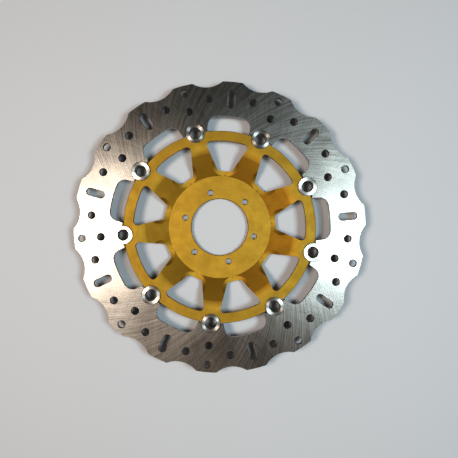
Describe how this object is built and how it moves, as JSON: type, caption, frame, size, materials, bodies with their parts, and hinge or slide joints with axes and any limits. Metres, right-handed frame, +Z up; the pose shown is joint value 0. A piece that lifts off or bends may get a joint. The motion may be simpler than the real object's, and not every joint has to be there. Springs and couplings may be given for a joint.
{
  "type": "brake disc rotor",
  "caption": "Floating brake disc rotor: a scalloped, drilled steel ring carried on turned bobbins round a dished gold aluminium carrier with spokes, a centre bore and bolt holes.",
  "frame": {"origin": "centre of the bore in the carrier's wheel face, which lies against the wheel hub", "axes": "+Y along the wheel axis towards the wheel, so the outboard face looks along -Y; +Z up and +X to the right as seen from outboard"},
  "size_m": [0.32, 0.0225, 0.3198],
  "materials": {
    "ring_steel": "ground stainless steel with fine curved grinding lines",
    "carrier_anodised": "satin gold anodised",
    "bobbin_steel": "bright turned",
    "washer_steel": "plain bright",
    "spring_steel": "dark phosphated"
  },
  "bodies": {
    "carrier": {"carrier": "carrier_anodised"},
    "friction_ring": {"friction_ring": "ring_steel"},
    "bobbin_1": {"bobbin_1": "bobbin_steel", "washer_1": "washer_steel", "spring_washer_1": "spring_steel", "circlip_1": "spring_steel"},
    "bobbin_2": {"bobbin_2": "bobbin_steel", "washer_2": "washer_steel", "spring_washer_2": "spring_steel", "circlip_2": "spring_steel"},
    "bobbin_3": {"bobbin_3": "bobbin_steel", "washer_3": "washer_steel", "spring_washer_3": "spring_steel", "circlip_3": "spring_steel"},
    "bobbin_4": {"bobbin_4": "bobbin_steel", "washer_4": "washer_steel", "spring_washer_4": "spring_steel", "circlip_4": "spring_steel"},
    "bobbin_5": {"bobbin_5": "bobbin_steel", "washer_5": "washer_steel", "spring_washer_5": "spring_steel", "circlip_5": "spring_steel"},
    "bobbin_6": {"bobbin_6": "bobbin_steel", "washer_6": "washer_steel", "spring_washer_6": "spring_steel", "circlip_6": "spring_steel"},
    "bobbin_7": {"bobbin_7": "bobbin_steel", "washer_7": "washer_steel", "spring_washer_7": "spring_steel", "circlip_7": "spring_steel"},
    "bobbin_8": {"bobbin_8": "bobbin_steel", "washer_8": "washer_steel", "spring_washer_8": "spring_steel", "circlip_8": "spring_steel"},
    "bobbin_9": {"bobbin_9": "bobbin_steel", "washer_9": "washer_steel", "spring_washer_9": "spring_steel", "circlip_9": "spring_steel"}
  },
  "joints": [
    {"name": "ring_float", "type": "slide", "parent": "carrier", "child": "friction_ring", "axis": [0, 1, 0], "range_m": [-0.00025, 0.00025]},
    {"name": "bobbin_1_spin", "type": "hinge", "parent": "carrier", "child": "bobbin_1", "pos_m": [0.09608, -0.0175, 0.04429], "axis": [0, 1, 0], "continuous": true},
    {"name": "bobbin_2_spin", "type": "hinge", "parent": "carrier", "child": "bobbin_2", "pos_m": [0.04513, -0.0175, 0.09569], "axis": [0, 1, 0], "continuous": true},
    {"name": "bobbin_3_spin", "type": "hinge", "parent": "carrier", "child": "bobbin_3", "pos_m": [-0.02694, -0.0175, 0.10231], "axis": [0, 1, 0], "continuous": true},
    {"name": "bobbin_4_spin", "type": "hinge", "parent": "carrier", "child": "bobbin_4", "pos_m": [-0.0864, -0.0175, 0.06106], "axis": [0, 1, 0], "continuous": true},
    {"name": "bobbin_5_spin", "type": "hinge", "parent": "carrier", "child": "bobbin_5", "pos_m": [-0.10544, -0.0175, -0.00876], "axis": [0, 1, 0], "continuous": true},
    {"name": "bobbin_6_spin", "type": "hinge", "parent": "carrier", "child": "bobbin_6", "pos_m": [-0.07514, -0.0175, -0.07448], "axis": [0, 1, 0], "continuous": true},
    {"name": "bobbin_7_spin", "type": "hinge", "parent": "carrier", "child": "bobbin_7", "pos_m": [-0.00968, -0.0175, -0.10536], "axis": [0, 1, 0], "continuous": true},
    {"name": "bobbin_8_spin", "type": "hinge", "parent": "carrier", "child": "bobbin_8", "pos_m": [0.06031, -0.0175, -0.08693], "axis": [0, 1, 0], "continuous": true},
    {"name": "bobbin_9_spin", "type": "hinge", "parent": "carrier", "child": "bobbin_9", "pos_m": [0.10207, -0.0175, -0.02783], "axis": [0, 1, 0], "continuous": true}
  ]
}
